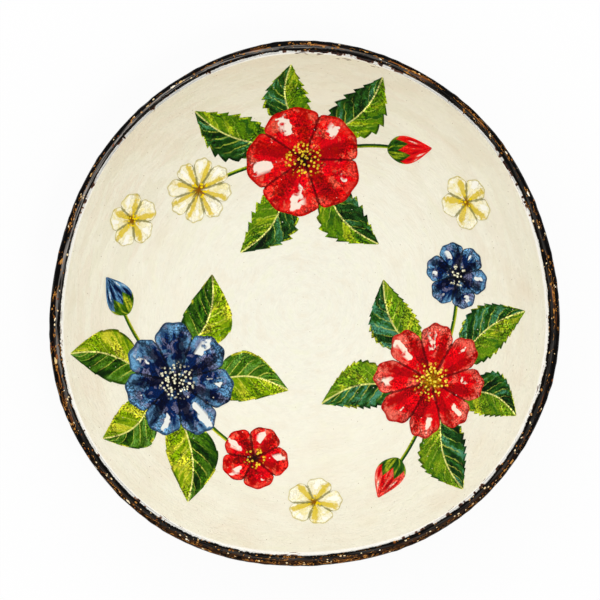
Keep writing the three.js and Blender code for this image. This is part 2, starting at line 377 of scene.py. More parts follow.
# Gourd shell: hard rind, stained dark and varnished outside, sanded to bare wood under the foot
shell = {
    "lump": 0.55,  # mm, gentle lumps of the rind
    "lumpWaves": {"seed": 11, "count": 9, "shortest": 18, "longest": 70},
    "lumpFade": 0.7,  # power by which the lumps die out at the foot and at the cut edge
    "streaks": 9,  # about as many for each radian around the rind
    "streakDrift": 0.012,  # change of a streak for each mm of radius
    "scar": 4.2,  # mm, radius of the blossom scar in the foot
    "scarCore": 3,  # mm, radius of its darkest part
    "footEdge": 60,  # sharpness of the line where the sanding ends
    "relief": 0.15,  # mm, fine grain of the rind
    "footRows": [0, 0.1, 0.2, 0.4, 0.6, 0.8, 0.94, 0.985],  # shares of the foot's radius
    "outsideRows": 90,
    "insideRows": 20,
    "columns": 400,
}


def gourdRind():
    material, add, shader = newMaterial("gourd_rind_stained_and_varnished")
    place = add("TexCoord", out="Object")
    foot = add("Attribute", out="Fac", attribute_name="sanded")
    # mottling of the rind, 14 mm across, with 3 mm breaks at its edges
    mottle = add("TexNoise", {"Vector": place, "Scale": mmPerMetre / 14, "Detail": 6, "Roughness": 0.62})
    skin = add("ValToRGB", [mottle], stops=[
        (0.3, "#1c110a"), (0.45, "#3a2415"), (0.58, "#553519"), (0.72, "#8a5a2a")])
    # streaks run from the foot to the edge
    streakPlace = add("Attribute", out="Vector", attribute_name="rind")
    streak = add("TexNoise", {"Vector": streakPlace, "Scale": 1, "Detail": 4})
    streaked = add("MapRange", [streak, 0.5, 0.72, 0, 0.55])
    # pale pin specks, 0.8 mm across and 5 mm apart
    cell = add("TexVoronoi", {"Vector": place, "Scale": mmPerMetre / 5})
    speck = add("MapRange", [cell, 0.1, 0.05, 0, 0.6])
    # bare sanded wood of the foot, with a darker blossom scar in its middle
    grit = add("TexNoise", {"Vector": place, "Scale": mmPerMetre / 2.5, "Detail": 5})
    wood = add("ValToRGB", [grit], stops=[(0.3, "#a47a48"), (0.7, "#c9a470")])
    away = add("VectorMath", [place], "Value", operation="LENGTH")
    scarred = add("MapRange", [away, shell["scar"] * metresPerMm, shell["scarCore"] * metresPerMm, 0, 0.8])
    footWood = layered(add, wood, [(scarred, "#4a3018")])
    colour = layered(add, skin, [(streaked, "#170e08"), (speck, "#a9783f"), (foot, footWood)])
    rough = add("MapRange", [foot, 0, 1, 0.36, 0.75])
    fine = add("TexNoise", {"Vector": place, "Scale": mmPerMetre / 1.6, "Detail": 3})
    bump = add("Bump", {"Height": fine, "Strength": 0.25, "Distance": shell["relief"] * metresPerMm})
    setInputs(shader, {"Base Color": colour, "Normal": bump, "Roughness": rough})
    return material


# Shell: the flat foot from the axis out, the lumpy skin up to the cut edge, and the inner face down again
def addShell():
    angle = directions(shell["columns"])[None, :]
    ones = np.ones_like(angle)
    footT = np.interp(0, skinCurve(fineT)[0][:, 1], fineT)
    footRadius = skinCurve(footT)[0][0]
    footRise = np.array(shell["footRows"])[:, None] * ones
    rise = np.linspace(0, 1, shell["outsideRows"])[:, None] * ones
    point, along = skinCurve(footT + (1 - footT) * rise)
    x, y = point[..., 0] * np.cos(angle), point[..., 0] * np.sin(angle)
    fade = np.sin(np.pi * rise) ** shell["lumpFade"]
    lump = shell["lump"] * planWaves(x, y, **shell["lumpWaves"]) * fade
    outRadius = point[..., 0] + along[..., 1] * lump
    outHeight = np.maximum(0, point[..., 1] - along[..., 0] * lump)
    inRise = np.linspace(1, 0, shell["insideRows"])[:, None] * ones  # hidden under the ivory coat
    inRadius, inHeight = insideCurve(inRise * lastShare(0), 0)
    radius = np.concatenate([footRise * footRadius, outRadius, inRadius])
    height = np.concatenate([footRise * 0, outHeight, inHeight])
    footEdge = np.clip(1 - rise * shell["footEdge"], 0, 1)
    sanded = np.concatenate([footRise * 0 + 1, footEdge, inRise * 0])
    turns = np.broadcast_to(angle, radius.shape)
    count = shell["streaks"]
    rind = np.stack([count * np.cos(turns), count * np.sin(turns), radius * shell["streakDrift"]], -1)
    attributes = {"sanded": sanded, "rind": rind}
    addPiece("gourd_shell", gourdShaped(radius, angle, height), gourdRind(), attributes)


addShell()
print("gourd shell done")

# Dark edging: a thick lacquer-like paste laid on the cut edge by hand, with rust, amber lines and pale chips
edging = {
    "height": 2.2,  # mm above the cut edge
    "outerSkirt": 0.9,  # mm it laps down the outside
    "innerSkirt": 1.9,  # mm it laps down the ivory coat
    "meanWidth": 3.6,
    "widthLobes": [(4, 0.42, 0), (2, 0.25, 0), (1, 0.25, -90)],  # wider to the sides and below
    "outerCurve": 2.2,  # roundness of the outer bevel, 2 is an ellipse
    "innerCurve": 4,  # the inner half is flatter on top
    "facetFall": 0.09,  # share of the height that the flat loses from the middle to the inner edge
    "lump": 0.11,  # mm
    "lumpWaves": {"seed": 21, "lowest": 10, "highest": 120, "count": 12},
    "ridge": 0.06,  # mm, strokes along the edge
    "ridges": 5,  # strokes across the section
    "ridgeWander": 2.2,
    "ridgeWaves": {"seed": 23, "lowest": 5, "highest": 40, "count": 7},
    "jag": 0.32,  # mm, broken inner edge
    "knobWaves": {"seed": 22, "lowest": 120, "highest": 330, "count": 6},
    "knobLevel": 0.8,
    "groupWaves": {"seed": 24, "lowest": 3, "highest": 11, "count": 4},
    "groupLevel": 0.1,
    "betweenGroups": 0.35,  # share of a knob's size between the groups
    "relief": 0.2,  # mm, strokes and grit of the paste
    "columns": 1600,
    "around": 48,
}


# Radius of the edging's inner edge at a direction
def edgingInner(angle):
    return rimRadius - edging["meanWidth"] - swellAt(edging["widthLobes"], angle)


# Sum of waves around the edging, whole numbers of them, that also turn about its section
def beadWaves(angle, section, seed, lowest, highest, count):
    random = np.random.default_rng(seed)
    total = 0
    for waves in np.geomspace(lowest, highest, count).round():
        phase = random.uniform(0, fullTurn)
        total = total + np.sin(waves * angle + random.integers(-3, 4) * section + phase)
    return total / np.sqrt(count)


def darkEdging():
    material, add, shader = newMaterial("dark_paste_edging_with_rust_and_chips")
    place = add("TexCoord", out="Object")
    bead = add("Attribute", out="Vector", attribute_name="bead")
    beadParts = add("SeparateXYZ", [bead]).node.outputs
    south, outward = beadParts["Y"], beadParts["Z"]
    leftUp = add("VectorMath", [bead, (-0.7, 0.7, 0)], "Value", operation="DOT_PRODUCT")
    rightDown = add("VectorMath", [bead, (0.87, -0.5, 0)], "Value", operation="DOT_PRODUCT")
    # smears of rust run along the crest, 12 mm long and 0.7 mm wide, further out on the -Y side
    smear = strokes(add, bead, (8, 8, 2.6), {"Detail": 3, "Roughness": 0.55})
    crestOut = add("MapRange", [south, -0.95, -0.3, -0.5, -0.1])
    crest = add("Math", [add("Math", [outward, crestOut])], operation="ABSOLUTE")
    rustZone = add("MapRange", [crest, 0.12, 0.5, 0.04, -0.13])
    sector = add("TexNoise", {"Vector": place, "Scale": mmPerMetre / 30, "Detail": 1})
    rub = add("Math", [smear, rustZone])
    rub = add("Math", [sector, 0.45, rub], operation="MULTIPLY_ADD")
    for side, low, high, less in ((leftUp, 0.6, 0.95, -0.05), (rightDown, 0.8, 0.97, -0.06)):
        rub = add("Math", [rub, add("MapRange", [side, low, high, 0, less])])
    paste = add("ValToRGB", [rub], stops=[
        (0.74, "#030201"), (0.79, "#120904"), (0.83, "#3a1d0a"), (0.9, "#744119"), (1, "#c07a34")])
    # painted sheen: grey streaks that stand for the glossy paste's highlight, inside the middle, most on the
    # -X +Y side
    drift = strokes(add, bead, (5, 5, 0), {"Detail": 1})
    sheenPlace = add("Math", [drift, add("Math", [outward, -0.15])])
    sheenOff = add("Math", [sheenPlace], operation="ABSOLUTE")
    sheenZone = add("MapRange", [sheenOff, 0.4, 0.18])
    sheenSide = add("MapRange", [leftUp, 0.3, 0.9, 0.12, 0.9])
    sheenTone = strokes(add, bead, (8, 8, 4.5), {"Detail": 4})
    paintedSheen = add("MapRange", [sheenTone, 0.4, 0.66])
    # on the -Y side the outer part is rubbed brown, in grains 1.4 mm across
    grain = add("TexNoise", {"Vector": place, "Scale": mmPerMetre / 1.4, "Detail": 3, "Roughness": 0.65})
    brownSide = add("MapRange", [south, -0.5, -0.85, 0, 0.9])
    brownOut = add("MapRange", [outward, -0.35, -0.1, 0, brownSide])
    browned = add("MapRange", [grain, 0.42, 0.58, 0, brownOut])
    # the paste stays black on the outer bevel, less so on the -Y side, and in a line along the inner edge
    outerLine = add("MapRange", [outward, 0.22, 0.42])
    lineSide = add("MapRange", [south, -0.9, 0, 0.2, 0.96])
    outerShare = add("Math", [outerLine, lineSide], operation="MULTIPLY")
    innerLine = add("MapRange", [outward, -0.66, -0.8, 0, 0.95])
    black = add("Math", [outerShare, innerLine], operation="MAXIMUM")
    # amber threads: thin contours of a pattern 4 mm long and 1.2 mm wide, here and there
    contour = strokes(add, bead, (26, 26, 1.5), {"Detail": 2})
    thread = add("Math", [contour, 0.54, 0.014], operation="COMPARE")
    threadZone = add("MapRange", [rub, 0.66, 0.74])
    # chips of copper, gold and cream: up to 2.5 mm long and 1 mm wide, crooked in outline
    shift = add("TexNoise", {"Vector": place, "Scale": mmPerMetre / 0.9}, "Color")
    chipPlace = add("Mapping", {"Vector": bead, "Scale": (32, 32, 1.5)})
    crooked = add("VectorMath", [shift, (0.7, 0.7, 0.7), chipPlace], operation="MULTIPLY_ADD")
    chipCell = add("TexVoronoi", {"Vector": crooked, "Scale": 1})
    chipPick = add("SeparateColor", [chipCell.node.outputs["Color"]]).node.outputs
    chipSize = add("MapRange", [chipPick["Red"], 0.55, 1, 0, 0.42])
    offCrest = add("MapRange", [crest, 0.2, 0.6, 1, 0.45])
    chipSize = add("Math", [chipSize, offCrest], operation="MULTIPLY")
    chip = add("Math", [chipCell, chipSize], operation="LESS_THAN")
    chipTone = add("ValToRGB", [chipPick["Green"]], stops=[
        (0.05, "#7a3f1c"), (0.4, "#c08a44"), (0.7, "#eccf94"), (0.92, "#fbf0d8")])
    # crumbs of the same, up to 1.2 mm long and 0.6 mm wide, most of them on the -Y side
    crumbPlace = add("Mapping", {"Vector": bead, "Scale": (75, 75, 2.6)})
    crumbCell = add("TexVoronoi", {"Vector": crumbPlace, "Scale": 1})
    crumbPick = add("SeparateColor", [crumbCell.node.outputs["Color"]]).node.outputs
    crumbLeast = add("MapRange", [south, -0.8, -0.3, 0.52, 0.82])
    crumbSize = add("MapRange", [crumbPick["Red"], crumbLeast, 1, 0, 0.45])
    crumb = add("Math", [crumbCell, crumbSize], operation="LESS_THAN")
    crumbTone = add("ValToRGB", [crumbPick["Blue"]], stops=[
        (0.1, "#6b3514"), (0.5, "#b57a35"), (0.9, "#f3dcae")])
    colour = layered(add, paste, [
        (paintedSheen, sheenZone, sheenSide, "#a8a29c"), (browned, "#402711"), (black, "#020101"),
        (thread, threadZone, "#c08036"), (chip, chipTone), (crumb, crumbTone)])
    rough = add("MapRange", [smear, 0.35, 0.65, 0.25, 0.4])
    # strokes and lumps of the paste, 2.5 mm
    grit = add("TexNoise", {"Vector": place, "Scale": mmPerMetre / 2.5})
    height = add("Math", [smear, 1.5, grit], operation="MULTIPLY_ADD")
    bump = add("Bump", {"Height": height, "Strength": 0.35, "Distance": edging["relief"] * metresPerMm})
    setInputs(shader, {"Base Color": colour, "Normal": bump, "Roughness": rough, "Specular IOR Level": 0.04})
    return material


# Edging: a section carried around the cut edge. Above it a round bevel outside and a flat that falls inwards,
# below it a skirt on both faces, with lumps, strokes along it, and knobs in groups on the inner edge.
def addEdging():
    section = directions(edging["around"])[None, :]
    angle = directions(edging["columns"])[:, None]
    waves = partial(beadWaves, angle, 0 * section)
    width = rimRadius - edgingInner(angle)
    side, up = np.cos(section), np.sin(section)
    power = 2 / np.where(side > 0, edging["outerCurve"], edging["innerCurve"])
    outward = np.sign(side) * np.abs(side) ** power
    above = np.sign(up) * np.abs(up) ** power * (1 - edging["facetFall"] * (1 - outward))
    skirt = edging["outerSkirt"] + (edging["innerSkirt"] - edging["outerSkirt"]) * (1 - outward) / 2
    lump = edging["lump"] * beadWaves(angle, section, **edging["lumpWaves"])
    wander = edging["ridgeWander"] * waves(**edging["ridgeWaves"])
    ridge = edging["ridge"] * np.sin(edging["ridges"] * section + wander)
    knobs = np.abs(waves(**edging["knobWaves"])) - edging["knobLevel"]
    between = edging["betweenGroups"]
    groups = between + (1 - between) * (waves(**edging["groupWaves"]) > edging["groupLevel"])
    broken = edging["jag"] * knobs * groups * np.clip(-outward, 0, 1)
    radius = rimRadius - width / 2 * (1 - outward) + lump * outward + broken
    height = cutHeight + np.where(above > 0, (edging["height"] + lump + ridge) * above, skirt * above)
    turns = angle + 0 * section
    bead = np.stack([np.cos(turns), np.sin(turns), outward + 0 * angle], -1)
    points = gourdShaped(radius, turns, height)
    addPiece("rim_edging", points, darkEdging(), {"bead": bead}, ring=True, sharp=75)


addLining()
print("ivory lining done")
addEdging()
print("rim edging done")

# Paper cut-outs: sizes in mm, as their solids have them
cutOuts = {
    "lift": 1.1,  # the ivory coat's face
    "sprayMargin": 5.5,
    "floretMargin": 18,
    "blossomRadius": 24,
    "companionRadius": 14,
    "floretRadius": 12,
    "floretPetals": (5, 0.32),  # count, dip
    "floretTurns": (33, 153, 273),
    "budLength": 20,
    "budWidth": 13,
    "companionStem": 7,
    "budStem": 11,
    "stemWidth": 1.6,
    "stemBow": 3,
    "leafTuck": 11,
    "tipWidth": 0.5,
    "leafBelly": 0.8,
    "budBelly": 0.7,
    "leaves": [  # aim, length past the blossom's edge, width, bow
        (50, 30, 23, -4.5), (97, 22, 21, 4.5), (152, 30, 23, 4.5), (236, 22, 21, 4.5), (311, 22, 21, -4.5)],
    "companionAim": 195,
    "budAim": 8,
    "thickness": {"blossom": 0.24, "companion": 0.2, "bud": 0.2, "leaf": 0.15, "stem": 0.11},
    "sunk": 0.2,  # the paper's back goes this far into the coat
    "flowerEdge": 0.05,  # loss of thickness at a flower's cut edge
    "stripEdge": 0.04,
    "petalColumns": 36,
    "flowerRows": 36,
    "stripRows": 110,
    "stripFace": 19,  # points across a strip's face
    "stripBack": 7,
    "outlineSteps": 60,
    "ringSteps": 120,
    "seeds": {"blossom": 1, "companion": 5, "bud": 9, "stem": 13, "leaf": 20, "floret": 40},
    "printStep": 7.3,  # from one seed's print to the next, so that no two are alike
    "grain": 0.36,  # depth of a print's grain
    "leafGrain": 0.6,
    "paperTone": "#f6ecd6",
    "relief": 0.1,
}


# Moves flat points out by a distance and turns them to an aim
def placed(x, y, aim, distance):
    turned = np.radians(aim)
    out = x + distance
    return out * np.cos(turned) - y * np.sin(turned), out * np.sin(turned) + y * np.cos(turned)


# Flat paper to the wall: distance from the floor's middle becomes distance up the wall's curve
def layOnWall(x, y, thickness, turn, reach):
    east, north = placed(y, -x, turn, reach)
    angle = np.arctan2(north, east)
    t = np.interp(np.hypot(east, north), wallWay, wallT)
    radius, height = insideCurve(t, cutOuts["lift"])
    ripple = coatRipple(radius * np.cos(angle), radius * np.sin(angle))
    radius, height = insideCurve(t, cutOuts["lift"] + ripple + thickness)
    return gourdShaped(radius, angle, height)


# Flower's edge: round petals with a dip between each two, and a slight ruffle that grows with the dip
def petalEdge(angle, radius, petals, dip, seed):
    ruffle = 0.06 * np.sin(3 * petals * angle + seed) + 0.05 * np.sin(5 * angle + 2 * seed)
    return radius * (1 - dip + dip * (np.sqrt(np.abs(np.sin(petals * angle / 2))) + ruffle))


# Half width of a strip that swells from one point to the other
def pointed(share, width, belly):
    tip = cutOuts["tipWidth"]
    return tip / 2 + (width - tip) / 2 * np.sin(np.pi * share ** belly)


# Half width of a leaf: a pointed strip cut back by a saw whose teeth die out at both ends
def leafHalf(share, width, teeth, depth):
    saw = (1 - (share * teeth) % 1) * np.sqrt(np.sin(np.pi * share))
    return pointed(share, width, cutOuts["leafBelly"]) * (1 - depth + depth * saw)


# Half width of a stem, the same all along
def stemHalf(share):
    return np.full_like(share, cutOuts["stemWidth"] / 2)


print("paper shapes ready")


# Watercolour print on thin paper under varnish: pigment gathers in grains and pools. Joins a colour to a
# shader, with what the brush left bare laid over it.
def printed(add, shader, colour, sheet, depth, bare=()):
    # grains 0.8 mm across, pools 5 mm across and dark flecks of pigment 0.7 mm across
    grain = add("TexNoise", {"Vector": sheet, "Scale": 1 / 0.8, "Detail": 3, "Roughness": 0.65})
    pool = add("TexNoise", {"Vector": sheet, "Scale": 1 / 5})
    pooled = add("Math", [grain, 1.3, pool], operation="MULTIPLY_ADD")
    value = add("MapRange", [pooled, 0.85, 1.45, 1 - depth, 1 + depth * 1.1])
    fleck = add("TexNoise", {"Vector": sheet, "Scale": 1 / 0.7, "Detail": 1})
    flecked = add("MapRange", [fleck, 0.38, 0.6, 1 - depth * 1.3, 1 + depth * 0.65])
    both = add("Math", [value, flecked], operation="MULTIPLY")
    # the paper takes the pigment grainy in some patches, 9 mm across, and smooth in others
    patch = add("TexNoise", {"Vector": sheet, "Scale": 1 / 9})
    grip = add("MapRange", [patch, 0.42, 0.58, 0.3, 1])
    grained = add("Mix", {0: grip, 2: 1, 3: both})
    toned = add("HueSaturation", {"Value": grained, "Saturation": 1.04, "Color": colour})
    # the paper shows in worn specks, up to 0.5 mm across, and where the brush left it bare
    cell = add("TexVoronoi", {"Vector": sheet, "Scale": 1 / 2.2})
    pick = add("SeparateColor", [cell.node.outputs["Color"]])
    speckSize = add("MapRange", [pick, 0.6, 1, 0, 0.12])
    speck = add("Math", [cell, speckSize], operation="LESS_THAN")
    toned = layered(add, toned, [(speck, 0.7, cutOuts["paperTone"]), *bare])
    bump = add("Bump", {"Height": grain, "Strength": 0.2, "Distance": cutOuts["relief"] * metresPerMm})
    setInputs(shader, {"Base Color": toned, "Normal": bump, "Roughness": 0.5, "Specular IOR Level": 0.05})


# Petals: deep colour from the heart, veins outwards, a shaded flank, a pale light on each and dark seams
def petalPaper(name, tones):
    material, add, shader = newMaterial(name)
    sheet = add("Attribute", out="Vector", attribute_name="sheet")
    bloom = add("Attribute", out="Vector", attribute_name="bloom")
    seamward, flank, reach = add("SeparateXYZ", [bloom]).node.outputs
    ray = add("Attribute", out="Vector", attribute_name="ray")
    gap = add("Attribute", out="Fac", attribute_name="seamGap")
    # brush wobble: edges of washes wander by half a millimetre
    wobble = add("TexNoise", {"Vector": sheet, "Scale": 1 / 1.8, "Detail": 4, "Roughness": 0.6})
    streak = strokes(add, ray, (7, 7, 1.8), {"Detail": 4, "Roughness": 0.6})
    along = add("Math", [reach, add("Math", [streak, 0.9, -0.45], operation="MULTIPLY_ADD")])
    wash = add("ValToRGB", [along], stops=[
        (0.14, tones["deep"]), (0.36, tones["main"]), (0.72, tones["main"]), (0.98, tones["light"])])
    # a second wash in hard-edged patches, 6.5 mm across, and a tint of another hue in smaller ones, 4 mm
    patch = add("TexNoise", {"Vector": sheet, "Scale": 1 / 6.5, "Detail": 3, "Distortion": 0.5})
    patched = add("MapRange", [patch, 0.53, 0.57, 0, 0.5])
    tint = add("TexNoise", {"Vector": sheet, "Scale": 1 / 4, "Detail": 3, "Distortion": 0.8}, "Color")
    tinted = add("MapRange", [add("SeparateColor", [tint]), 0.55, 0.58, 0, 0.5])
    # the flank under the next petal is in shade, with a wandering edge
    flankEdge = add("Math", [wobble, 1.8, flank], operation="MULTIPLY_ADD")
    flankOut = add("Math", [reach, -1.3, flankEdge], operation="MULTIPLY_ADD")
    shade = add("MapRange", [flankOut, 0.45, 0.8, 0, 0.85])
    # fine veins, from the heart outwards
    vein = strokes(add, ray, (24, 24, 1.2), {"Detail": 2})
    veined = add("MapRange", [vein, 0.56, 0.66, 0, 0.55])
    veinOut = add("MapRange", [reach, 0.9, 0.5])
    # a light on the lit side of each petal: an oval in the petal's own measures, left pale by the brush
    ovalReach = add("Math", [reach, 6.5, -4.7], operation="MULTIPLY_ADD")
    ovalFlank = add("Math", [flank, 2.4, 1.5], operation="MULTIPLY_ADD")
    oval = add("VectorMath", [add("CombineXYZ", [ovalReach, ovalFlank])], "Value", operation="LENGTH")
    soft = add("TexNoise", {"Vector": sheet, "Scale": 1 / 2.6, "Detail": 1.5})
    petalTurn = strokes(add, ray, (1.6, 1.6, 0), {"Detail": 0})
    for wave, size in ((soft, 2.6), (petalTurn, 3)):
        oval = add("Math", [wave, size, oval], operation="MULTIPLY_ADD")
    lit = add("MapRange", [oval, 3.6, 3.4, 0, 0.92])
    middle = add("MapRange", [seamward, 0.3, -0.2])
    some = add("MapRange", [patch, 0.4, 0.46])
    # pigment gathers in a line at the paper's edge
    rimPlace = add("Math", [wobble, 0.09, reach], operation="MULTIPLY_ADD")
    rim = add("MapRange", [rimPlace, 0.985, 1.02, 0, 0.75])
    # dark seams between the petals, about 1 mm wide and broken
    seam = add("Math", [wobble, -1.6, gap], operation="MULTIPLY_ADD")
    seamed = add("MapRange", [seam, -0.1, -0.5, 0, 0.85])
    # heart of the flower, and pollen dots 1.4 mm apart around it
    heart = add("MapRange", [along, 0.2, 0.08])
    dot = add("TexVoronoi", {"Vector": sheet, "Scale": 1 / 1.4})
    pollen = add("MapRange", [dot, 0.42, 0.32])
    heartRing = add("MapRange", [reach, 0.36, 0.28])
    colour = layered(add, wash, [
        (patched, tones["light"]), (tinted, tones["tint"]), (shade, tones["deep"]),
        (veined, veinOut, tones["deep"]), (rim, tones["edge"]), (seamed, tones["accent"]),
        (heart, tones["heart"]), (pollen, heartRing, tones["pollen"])])
    printed(add, shader, colour, sheet, tones["grain"], [(lit, middle, some, tones["pale"])])
    return material


# Leaves: a light half and a dark half, dabs of several greens between the side veins, thin pale ribs
def leafPaper(name, tones):
    material, add, shader = newMaterial(name)
    sheet = add("Attribute", out="Vector", attribute_name="sheet")
    seed = add("SeparateXYZ", [sheet], "Z")
    blade = add("Attribute", out="Vector", attribute_name="blade")
    along, side, half = add("SeparateXYZ", [blade]).node.outputs
    span = add("Math", [side], operation="ABSOLUTE")
    wobble = add("TexNoise", {"Vector": sheet, "Scale": 1 / 1.8, "Detail": 4, "Roughness": 0.6})
    # side veins leave the midrib at a slant, eight on each side
    slant = add("Math", [span, -2.1], operation="MULTIPLY")
    slant = add("Math", [wobble, 0.25, slant], operation="MULTIPLY_ADD")
    vein = add("Math", [along, 8, slant], operation="MULTIPLY_ADD")
    # one dab of the brush between each two veins, each with a tone of its own
    veinStep = add("Math", [vein], operation="FLOOR")
    sideSign = add("Math", [side], operation="SIGN")
    dab = add("TexWhiteNoise", {"Vector": add("CombineXYZ", [veinStep, sideSign, seed])})
    strokePlace = add("CombineXYZ", [vein, side, seed])
    tone = add("TexNoise", {"Vector": strokePlace, "Scale": 1.4, "Detail": 3, "Roughness": 0.6})
    for wave, size in ((dab, 0.28), (wobble, 0.3)):
        tone = add("Math", [wave, size, tone], operation="MULTIPLY_ADD")
    light = add("ValToRGB", [tone], stops=[
        (0.6, tones["mid"]), (0.7, tones["light"]), (0.84, tones["light"]), (0.98, tones["bright"])])
    dark = add("ValToRGB", [tone], stops=[
        (0.58, tones["deep"]), (0.7, tones["dark"]), (0.84, tones["mid"]), (1, tones["sheen"])])
    halfEdge = add("Math", [wobble, 0.3, side], operation="MULTIPLY_ADD")
    darkHalf = add("MapRange", [halfEdge, 0.12, 0.18])
    # side veins: pale lines that fade before the edge, some of them left out
    veinNear = add("Math", [vein, 0.5], operation="PINGPONG")
    veined = add("MapRange", [veinNear, 0.1, 0.04, 0, 0.7])
    inner = add("MapRange", [span, 0.85, 0.45])
    some = add("MapRange", [dab, 0.35, 0.4])
    # edge: yellow light in places, a dark line in others
    limb = add("TexNoise", {"Vector": sheet, "Scale": 1 / 9})
    limbOut = add("MapRange", [span, 0.88, 0.93])
    lightLimb = add("MapRange", [limb, 0.5, 0.54, 0, 0.8])
    darkLimb = add("MapRange", [limb, 0.48, 0.44, 0, 0.7])
    # midrib, 0.6 mm wide
    offset = add("Math", [span, half], operation="MULTIPLY")
    rib = add("MapRange", [offset, 0.42, 0.2, 0, 0.85])
    colour = layered(add, light, [
        (darkHalf, dark), (veined, inner, some, tones["vein"]), (limbOut, lightLimb, tones["bright"]),
        (limbOut, darkLimb, tones["deep"]), (rib, tones["rib"])])
    printed(add, shader, colour, sheet, cutOuts["leafGrain"])
    return material


# Buds: a green calyx with points, and furled petals streaked along their length
def budPaper(name, tones, green):
    material, add, shader = newMaterial(name)
    sheet = add("Attribute", out="Vector", attribute_name="sheet")
    blade = add("Attribute", out="Vector", attribute_name="blade")
    along, side = add("SeparateXYZ", [blade]).node.outputs[:2]
    furl = add("CombineXYZ", [side, add("Math", [along, 0.7], operation="MULTIPLY")])
    streak = add("TexNoise", {"Vector": furl, "Scale": 3.5, "Detail": 4})
    petal = add("ValToRGB", [streak], stops=[
        (0.34, tones["deep"]), (0.45, tones["main"]), (0.6, tones["light"]), (0.7, tones["pale"])])
    leafy = add("ValToRGB", [streak], stops=[
        (0.35, green["deep"]), (0.5, green["mid"]), (0.68, green["bright"])])
    points = add("Math", [side, 0.42], operation="PINGPONG")
    calyxEdge = add("Math", [points, -0.6, along], operation="MULTIPLY_ADD")
    calyx = add("MapRange", [calyxEdge, 0.26, 0.22])
    printed(add, shader, layered(add, petal, [(calyx, leafy)]), sheet, cutOuts["grain"])
    return material


# Stems: one side lit, one in shade
def stemPaper(name, tones):
    material, add, shader = newMaterial(name)
    sheet = add("Attribute", out="Vector", attribute_name="sheet")
    blade = add("Attribute", out="Vector", attribute_name="blade")
    across = add("MapRange", [add("SeparateXYZ", [blade], "Y"), -1, 1])
    colour = add("ValToRGB", [across], stops=[
        (0.15, tones["bright"]), (0.5, tones["mid"]), (0.85, tones["dark"])])
    printed(add, shader, colour, sheet, cutOuts["grain"])
    return material


# Inks
redInk = {"deep": "#9c060b", "main": "#e01c24", "light": "#ea4c44", "pale": "#fdf0e0", "edge": "#a0070c",
          "accent": "#4a0206", "heart": "#1d0b08", "pollen": "#f2cf48", "tint": "#ee7a62", "grain": 0.48}
roseInk = {"deep": "#a5080f", "main": "#de262a", "light": "#ee7a6a", "pale": "#fff0dc", "edge": "#a5080f",
           "accent": "#560409", "heart": "#a97a12", "pollen": "#f8df55", "tint": "#c00f1c", "grain": 0.48}
blueInk = {"deep": "#00021c", "main": "#08204e", "light": "#6d9fc6", "pale": "#f2f4ee", "edge": "#040a2a",
           "accent": "#010208", "heart": "#04060f", "pollen": "#ece8c8", "tint": "#83829f", "grain": 0.6}
whiteInk = {"deep": "#dcc02c", "main": "#f8f1cc", "light": "#fdf9e4", "pale": "#fffdf2", "edge": "#c2b56c",
            "accent": "#7f7a3c", "heart": "#8a520c", "pollen": "#f4d42a", "tint": "#efe08a", "grain": 0.12}
darkGreen = {"deep": "#041203", "dark": "#10300b", "mid": "#295614", "light": "#567f18", "bright": "#a9b82e",
             "sheen": "#47805a", "vein": "#b0bf4c", "rib": "#e2e084"}
lightGreen = {"deep": "#082004", "dark": "#1f490d", "mid": "#467115", "light": "#7b9b1b", "bright": "#d2cf42",
              "sheen": "#66963f", "vein": "#d0d45c", "rib": "#f2ec90"}
midGreen = {"deep": "#041607", "dark": "#113715", "mid": "#2e6118", "light": "#60881e", "bright": "#bcc238",
            "sheen": "#4f8c70", "vein": "#bcc656", "rib": "#e8e488"}
whitePetals = petalPaper("white_watercolour_on_paper", whiteInk)
redPetals = petalPaper("red_watercolour_on_paper", redInk)
rosePetals = petalPaper("rose_red_watercolour_on_paper", roseInk)
bluePetals = petalPaper("blue_watercolour_on_paper", blueInk)
print("paper materials ready")


# Paper: flat points taken to their spot and laid on the wall, with the print's own place on the sheet
def addPaper(node, material, x, y, lift, lay, spot, seed, attributes):
    sheet = np.stack([x, y, np.full_like(x, seed * cutOuts["printStep"])], -1)
    addPiece(node, lay(*placed(x, y, *spot), lift), material, {"sheet": sheet, **attributes})


# Flower: a thin closed sheet on a polar grid of its own, its face out to the edge and its back in again
def addFlower(node, material, petals, dip, radius, lay, spot, thickness, seed):
    angle = directions(petals * cutOuts["petalColumns"])[None, :]
    rows = cutOuts["flowerRows"]
    back = -cutOuts["sunk"]
    share = np.concatenate([np.linspace(0, 0.99, rows), [1, 1, 0.5, 0]])[:, None]
    edgeLift = thickness - cutOuts["flowerEdge"]
    lift = np.concatenate([np.full(rows, thickness), [edgeLift, back, back, back]])[:, None]
    edge = petalEdge(angle, radius, petals, dip, seed)
    x, y = share * edge * np.cos(angle), share * edge * np.sin(angle)
    ones = np.ones_like(x)
    attributes = {
        "bloom": np.stack([np.cos(petals * angle) * ones, np.sin(petals * angle) * ones, share * ones], -1),
        "ray": np.stack([np.cos(angle) * ones, np.sin(angle) * ones, share * ones + seed], -1),
        "seamGap": np.hypot(x, y) * np.abs(np.sin(petals * angle / 2)) * 2 / petals,
    }
    addPaper(node, material, x, y, lift, lay, spot, seed, attributes)


